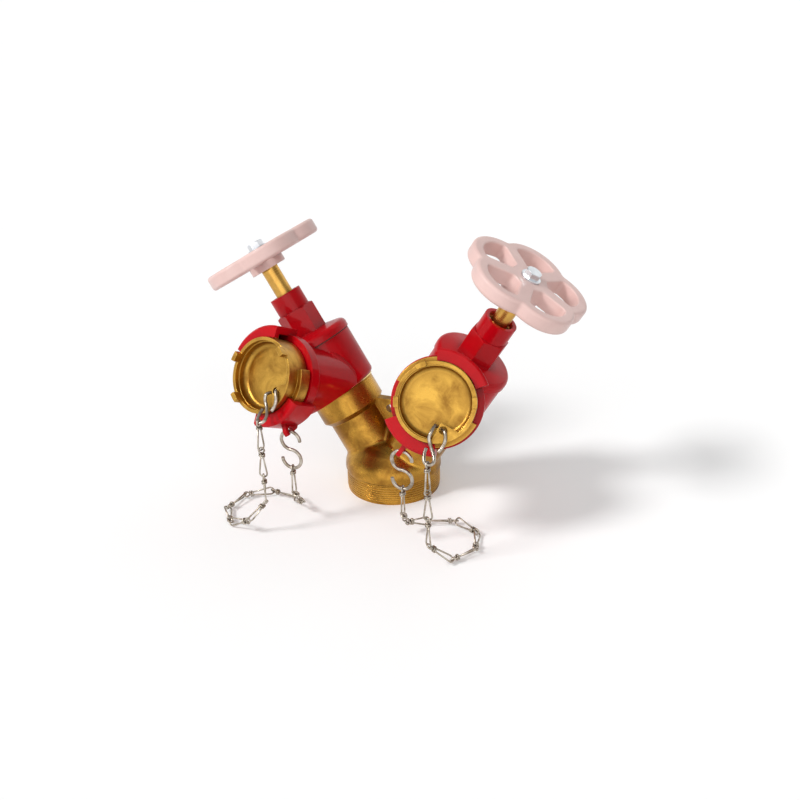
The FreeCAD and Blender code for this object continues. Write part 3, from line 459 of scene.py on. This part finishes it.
black_rubber = soft_seal("black_rubber", base=(0.02, 0.02, 0.021, 1), worn=(0.05, 0.05, 0.05, 1),
                         grain=0.5, rough=0.62)
packing_cord = soft_seal("packing_cord", base=(0.12, 0.11, 0.1, 1), worn=(0.2, 0.19, 0.16, 1),
                         grain=0.9, rough=0.75)
for side, axis in STEM_AXIS.items():
    stem_brass = turned_metal(side + "_stem_brass", base=(0.66, 0.38, 0.09, 1),
                              dull=(0.26, 0.11, 0.02, 1), axis=axis, rough=0.27)
    for piece in ("stem", "gland_nut", "valve_disc", "stem_retainer", "disc_nut"):
        set_finish(f"{side}_{piece}", stem_brass)
    set_finish(side + "_packing", packing_cord)
    set_finish(side + "_seat_washer", black_rubber)

# Handwheels: cast metal in five lobes under pale pink enamel, on the stem's square.
# A zinc plated washer and hexagon bolt hold each wheel down.

# The wheel's enamel takes painted shade in its corners and a painted highlight on its edges.
wheel_enamel = enamel("wheel_enamel", full=(0.76, 0.54, 0.5, 1), deep=(0.58, 0.36, 0.33, 1),
                      thin_and_highlit=(0.8, 0.62, 0.58, 1), rough=0.4, coat=0.2, shine=0.3)
for side, axis in STEM_AXIS.items():
    zinc_plate = turned_metal(side + "_zinc_plate", base=(0.74, 0.77, 0.8, 1),
                              dull=(0.4, 0.42, 0.44, 1), axis=axis, rough=0.3, width=0.7)
    set_finish(side + "_handwheel", wheel_enamel)
    set_finish(side + "_wheel_washer", zinc_plate)
    set_finish(side + "_wheel_bolt", zinc_plate)

# Caps: cast brass dishes with two claws and an ear for the hook.
# Each cap turns into the claws of its outlet, against a rubber ring.

# The dishes darken towards their floors and corners as painted shade, besides brown stain patches.
cap_brass = cast_brass("cap_brass", bright=(0.6, 0.345, 0.064, 1), stained_and_shaded=(0.14, 0.047, 0.008, 1),
                       grain=1.0, patch=20.0, shade_reach=13.0, rough=0.32)
for side in STEM_AXIS:
    set_finish(side + "_cap", cap_brass)
    set_finish(side + "_outlet_gasket", black_rubber)

# Hooks and chains: S-hooks of drawn steel wire, and links of thinner wire, each one bent to a
# long loop and knotted at one end round its own legs. The chain hangs from the cap's hook,
# lies on the floor in a loose loop and goes up to the body's hook.

WIRE_ROUGH = 0.32
WIRE_STAIN = 0.8


def drawn_wire(name, base, dull):
    """Drawn steel wire: grey, browned in stain patches and darkened by painted shade in the crevices.
    """
    material, tree, shader = start_finish(name, base, WIRE_ROUGH, metallic=1.0)
    marks_and_shade = place_marks_and_shade(tree, grain=0.5, patch=6.0, shade_reach=1.6)
    stain_and_shade = gather_stain_and_shade(tree, marks_and_shade, WIRE_STAIN)
    # The dull colour shows in stain patches and, as painted shade, in the crevices.
    tree.links.new(blend_colours(tree, stain_and_shade, base, dull), shader.inputs["Base Color"])
    tree.links.new(uneven(tree, marks_and_shade["Grain"], GRAIN_RANGE, WIRE_ROUGH, less=0.08, more=0.12),
                   shader.inputs["Roughness"])
    raise_surface(tree, shader, marks_and_shade["Grain"], depth=0.00002, edge=0.0002)
    return material


steel_wire = drawn_wire("steel_wire", base=(0.56, 0.51, 0.44, 1), dull=(0.2, 0.15, 0.1, 1))
for side in STEM_AXIS:
    for piece in ("cap_hook", "body_hook", "chain"):
        set_finish(f"{side}_{piece}", steel_wire)


def sweep_wire(shape, path, place, thick, sides):
    """Adds a round wire of that radius along a path, set in place by a matrix."""
    spots = [Vector(point) for point in path]
    turns = [2 * math.pi * j / sides for j in range(sides)]
    rings = []
    side_way = Vector((0, 0, 1))
    for i, spot in enumerate(spots):
        ahead = (spots[min(i + 1, len(spots) - 1)] - spots[max(i - 1, 0)]).normalized()
        side_way = (side_way - ahead * side_way.dot(ahead)).normalized()
        other = ahead.cross(side_way)
        ring = []
        for turn in turns:
            off = side_way * math.cos(turn) + other * math.sin(turn)
            ring.append(shape.verts.new(place @ (spot + off * thick)))
        rings.append(ring)
    skin_rings(shape, rings)


HOOK_WIRE = 0.0015
HOOK_SIDES = 12
HOOK_LENGTH = 0.033
HOOK_FRONT = 0.0034
FRONT_TO = 0.55
CAP_FRONT = 0.1087
EAR_HALF = 0.0013
EAR_REACH = 0.0235
EAR_TURN = {"left": math.radians(213), "right": math.radians(232)}
UPPER_LEG = ((0.0195, 0.004), (0.0135, 0.0056), (0.0075, 0.0054), (0.003, 0.0036))
THROUGH_EAR = ((-0.0012, 0.0022), (0.0006, -0.0012), (0.0032, -0.0036), (0.0066, -0.0025),
               (0.0078, 0.0003))
LOWER_LEG = ((0.006, -0.009), (0.011, -0.0086), (0.016, -0.0052), (0.021, -0.0006),
             (0.0252, 0.0029), (0.029, 0.0042), (0.0319, 0.0027), (0.033, 0.0),
             (0.0321, -0.0029), (0.0293, -0.0051), (0.025, -0.0066), (0.0205, -0.0072))
ROUND_STEPS = 6


def rounded(spots):
    """A smooth line through the spots."""
    line = []
    for i in range(len(spots) - 1):
        before, start, end, after = (spots[min(max(i + j, 0), len(spots) - 1)] for j in (-1, 0, 1, 2))
        bend = 2 * before - 5 * start + 4 * end - after
        swing = 3 * start - before - 3 * end + after
        for step in range(ROUND_STEPS):
            t = step / ROUND_STEPS
            line.append(0.5 * (2 * start + (end - before) * t + bend * t ** 2 + swing * t ** 3))
    return line + [spots[-1]]


def hook_spots(side):
    """Spots along a cap's S-hook: an upper loop, through the ear, and down to an open bend."""
    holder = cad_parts[side + "_cap_hook"]
    corners = [holder.matrix_world @ vertex.co for vertex in holder.data.vertices]
    lowest = min(corners, key=lambda spot: spot.z)
    start, axis, top = outlet_ways(side)
    turn = EAR_TURN[side]
    off_centre = top * math.cos(turn) - top.cross(axis) * math.sin(turn)
    hole = start + axis * (CAP_FRONT - EAR_HALF) + off_centre * EAR_REACH
    fall = lowest + Vector((0, 0, HOOK_WIRE)) - hole
    rise = fall.dot(axis)
    down = (fall - axis * rise).normalized()
    right = axis.cross(down)
    scale = fall.dot(down) / HOOK_LENGTH
    edges = [Matrix.Rotation(way * math.pi / 4, 3, axis) @ -off_centre for way in (1, -1)]
    over_edge = min(edges, key=lambda edge: edge.dot(right))

    def leg(along, aside):
        """A spot of a leg, in front of the cap's rim and then falling back to where the chain hangs."""
        share = max(0.0, along / HOOK_LENGTH - FRONT_TO) / (1 - FRONT_TO)
        ahead = HOOK_FRONT + (rise - HOOK_FRONT) * share
        return hole + (down * along + right * aside) * scale + axis * ahead

    spots = [leg(*spot) for spot in UPPER_LEG]
    spots += [hole + over_edge * aside + axis * ahead for aside, ahead in THROUGH_EAR]
    return spots + [leg(*spot) for spot in LOWER_LEG]


for side in STEM_AXIS:
    shape = bmesh.new()
    sweep_wire(shape, rounded(hook_spots(side)), Matrix(), HOOK_WIRE, HOOK_SIDES)
    hook = make_piece(side + "_cap_hook_wire", shape, steel_wire)
    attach(hook, side + "_cap")
    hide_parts(side + "_cap_hook")

WIRE = 0.00075
WIDE_END = 0.0142
WIDE_RADIUS = 0.00345
WIDE_STEPS = 12
EYE_END = -0.0142
EYE_RADIUS = 0.0025
EYE_FROM = math.radians(52)
EYE_SWEEP = math.radians(256)
EYE_LIFT = 0.6 * WIRE
EYE_STEPS = 14
WAIST_FROM = -0.0088
WAIST_TO = -0.0058
WAIST_MIDDLE = (WAIST_FROM + WAIST_TO) / 2
LEG_ASIDE = 0.0012
LEG_LIFT = 0.0004


def link_path():
    """Centre line of one link: a leg, the wide end, the other leg, and the small eye."""
    path = [(WAIST_TO, LEG_ASIDE, LEG_LIFT)]
    middle = WIDE_END - WIDE_RADIUS
    for i in range(WIDE_STEPS + 1):
        angle = math.pi / 2 - math.pi * i / WIDE_STEPS
        path.append((middle + WIDE_RADIUS * math.cos(angle), WIDE_RADIUS * math.sin(angle), 0.0))
    path += [(WAIST_TO, -LEG_ASIDE, -LEG_LIFT), (WAIST_MIDDLE, 0.0, -WIRE)]
    middle = EYE_END + EYE_RADIUS
    for i in range(EYE_STEPS + 1):
        share = i / EYE_STEPS
        angle = EYE_FROM + EYE_SWEEP * share
        path.append((middle + EYE_RADIUS * math.cos(angle), EYE_RADIUS * math.sin(angle),
                     EYE_LIFT * (2 * share - 1)))
    return path + [(WAIST_MIDDLE, 0.0, WIRE), (WAIST_TO, LEG_ASIDE, LEG_LIFT)]


WRAP_TURNS = 1.75
WRAP_STEPS = 14
WRAP_SHIFT = 0.0004
WRAP_ASIDE = LEG_ASIDE + 1.6 * WIRE
WRAP_LIFT = 2.6 * WIRE


def wrap_path():
    """Centre line of the wire's end, wound round both legs at the waist."""
    steps = int(WRAP_TURNS * WRAP_STEPS)
    path = []
    for i in range(steps + 1):
        angle = 2 * math.pi * WRAP_TURNS * i / steps
        along = WAIST_FROM + WRAP_SHIFT + (WAIST_TO - WAIST_FROM) * i / steps
        path.append((along, WRAP_ASIDE * math.cos(angle), WRAP_LIFT * math.sin(angle)))
    return path


MICROMETRE_PLACES = 6


def read_links(node):
    """Place of every link of a chain, in order from the cap: its centre, long way and flat side."""
    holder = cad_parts[node]
    mesh = holder.data
    spots = np.empty(len(mesh.vertices) * 3)
    mesh.vertices.foreach_get("co", spots)
    place = np.array(holder.matrix_world)
    spots = spots.reshape(-1, 3) @ place[:3, :3].T + place[:3, 3]
    spots, same = np.unique(np.round(spots, MICROMETRE_PLACES), axis=0, return_inverse=True)
    ends = np.empty(len(mesh.edges) * 2, dtype=np.int64)
    mesh.edges.foreach_get("vertices", ends)
    ends = same.reshape(-1)[ends].reshape(-1, 2)
    label = np.arange(len(spots))
    settled = False
    while not settled:
        lowest = np.minimum(label[ends[:, 0]], label[ends[:, 1]])
        spread_on = label.copy()
        np.minimum.at(spread_on, ends[:, 0], lowest)
        np.minimum.at(spread_on, ends[:, 1], lowest)
        spread_on = spread_on[spread_on]
        settled = np.array_equal(spread_on, label)
        label = spread_on
    left = []
    for mark in np.unique(label):
        points = spots[label == mark]
        centre = points.mean(axis=0)
        ways = np.linalg.svd(points - centre, full_matrices=False)[2]
        left.append((Vector(centre), Vector(ways[0]), Vector(ways[2])))
    left.sort(key=lambda link: link[0].z)
    chain = [left.pop()]
    while left:
        left.sort(key=lambda link: (link[0] - chain[-1][0]).length)
        chain.append(left.pop(0))
    return chain


FIRST_TWISTS = 3
LINK_SIDES = 8
WRAP_SIDES = 6


def lay_links(name, chain, chosen, turned_from):
    """One piece of knotted links; those from turned_from on have their eye towards the body's hook."""
    shape = bmesh.new()
    for index in chosen:
        centre, along, flat = chain[index]
        ahead = chain[min(index + 1, len(chain) - 1)][0] - chain[max(index - 1, 0)][0]
        along = along if along.dot(ahead) > 0 else -along
        along = along if index < turned_from else -along
        twist = math.pi / 2 * max(0, 1 - index / FIRST_TWISTS)
        flat = Matrix.Rotation(twist, 3, along) @ flat
        place = Matrix((along, flat.cross(along), flat)).transposed().to_4x4()
        place.translation = centre
        sweep_wire(shape, link_path(), place, WIRE, LINK_SIDES)
        sweep_wire(shape, wrap_path(), place, WIRE, WRAP_SIDES)
    strand = make_piece(name, shape, steel_wire)
    return strand


HANGING = 4
RISING = 3
for side in STEM_AXIS:
    chain = read_links(side + "_chain")
    last = len(chain) - RISING
    hanging = lay_links(side + "_chain_from_cap", chain, range(HANGING), last)
    lying = lay_links(side + "_chain_to_body", chain, range(HANGING, len(chain)), last)
    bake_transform(hanging)
    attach(lying, "fixed")
    for strand in (hanging, lying):
        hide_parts(side + "_chain")

# Studio: a plain pale floor, a broad key lamp with two wide soft lamps, and a pale surround.
# To the camera and in mirroring metal, floor and surround look white without giving more light.
# The view is from the front right and a little above.

FLOOR_HALF = 14.0
FLOOR_LIFT = 0.16
FLOOR_SHADES = ((0.84, 0.84, 0.84, 1), (0.88, 0.88, 0.88, 1))
WHITE = (1, 1, 1, 1)


def seen_by_rays(tree):
    """1 for rays from the camera and those that metal mirrors or glass passes, 0 for other light."""
    ray = add_node(tree, "LightPath").outputs
    through = combine(tree, "MAXIMUM", ray["Is Camera Ray"], ray["Is Transmission Ray"])
    return combine(tree, "MAXIMUM", through, ray["Is Glossy Ray"])


def pale_floor():
    """Plain pale floor: a faint speckle, lifted to white for the rays that show it."""
    material, tree, shader = start_finish("pale_floor", FLOOR_SHADES[0], rough=0.8, metallic=0.0)
    speckle = add_node(tree, "TexNoise", {"Scale": 60.0, "Detail": 4.0}).outputs[0]
    tree.links.new(blend_colours(tree, speckle, *FLOOR_SHADES), shader.inputs["Base Color"])
    shader.inputs["Emission Color"].default_value = WHITE
    tree.links.new(combine(tree, "MULTIPLY", seen_by_rays(tree), FLOOR_LIFT),
                   shader.inputs["Emission Strength"])
    return material


floor_mesh = bpy.data.meshes.new("floor")
floor_mesh.from_pydata([(-FLOOR_HALF, -FLOOR_HALF, 0), (FLOOR_HALF, -FLOOR_HALF, 0),
                        (FLOOR_HALF, FLOOR_HALF, 0), (-FLOOR_HALF, FLOOR_HALF, 0)], [], [(0, 1, 2, 3)])
floor_mesh.materials.append(pale_floor())
floor = bpy.data.objects.new("floor", floor_mesh)
bpy.context.collection.objects.link(floor)

SKY_STRENGTH = 0.3
BACKDROP_HEIGHTS = (0.3, 0.5)
surround = bpy.data.worlds.new("surround")
surround.use_nodes = True
bpy.context.scene.world = surround
sky = surround.node_tree
sky.nodes["Background"].inputs["Color"].default_value = WHITE
way_up = add_node(sky, "TexCoord").outputs["Generated"]
height = add_node(sky, "SeparateXYZ", {"Vector": way_up}).outputs["Z"]
backdrop = spread(sky, height, *BACKDROP_HEIGHTS, 1.0, SKY_STRENGTH)
strength = spread(sky, seen_by_rays(sky), 0.0, 1.0, SKY_STRENGTH, backdrop)
sky.links.new(strength, sky.nodes["Background"].inputs["Strength"])

LAMPS = (("key_lamp", (-0.62, -0.62, 0.85), 2.1, 14.0),
         ("fill_lamp", (0.35, -0.9, 0.5), 1.1, 70.0),
         ("rim_lamp", (0.25, 0.9, 0.8), 0.35, 60.0))
for name, place, power, width in LAMPS:
    lamp = bpy.data.lights.new(name, "SUN")
    lamp.energy = power
    lamp.angle = math.radians(width)
    holder = bpy.data.objects.new(name, lamp)
    holder.location = place
    holder.rotation_mode = "QUATERNION"
    holder.rotation_quaternion = (-Vector(place)).to_track_quat("-Z", "Y")
    bpy.context.collection.objects.link(holder)

VIEW_ROUND = math.radians(23.57)
VIEW_ABOVE = math.radians(25.20)
VIEW_ROLL = math.radians(1.62)
VIEW_DISTANCE = 0.96242
VIEW_CENTRE = Vector((0.00861, 0.0, 0.0884))
LENS_MILLIMETRES = 46.81
SENSOR_MILLIMETRES = 36.0
level = Vector((math.cos(VIEW_ROUND), math.sin(VIEW_ROUND), 0))
ahead = Vector((-math.sin(VIEW_ROUND), math.cos(VIEW_ROUND), 0))
back = Vector((0, 0, math.sin(VIEW_ABOVE))) - ahead * math.cos(VIEW_ABOVE)
upright = back.cross(level)
across = level * math.cos(VIEW_ROLL) - upright * math.sin(VIEW_ROLL)
tall = level * math.sin(VIEW_ROLL) + upright * math.cos(VIEW_ROLL)
lens = bpy.data.cameras.new("camera")
lens.sensor_width = SENSOR_MILLIMETRES
lens.lens = LENS_MILLIMETRES
camera = bpy.data.objects.new("camera", lens)
camera.matrix_world = Matrix.LocRotScale(
    VIEW_CENTRE + back * VIEW_DISTANCE, Matrix((across, tall, back)).transposed().to_quaternion(), None)
bpy.context.collection.objects.link(camera)
bpy.context.scene.camera = camera
bpy.context.scene.view_settings.view_transform = "Standard"
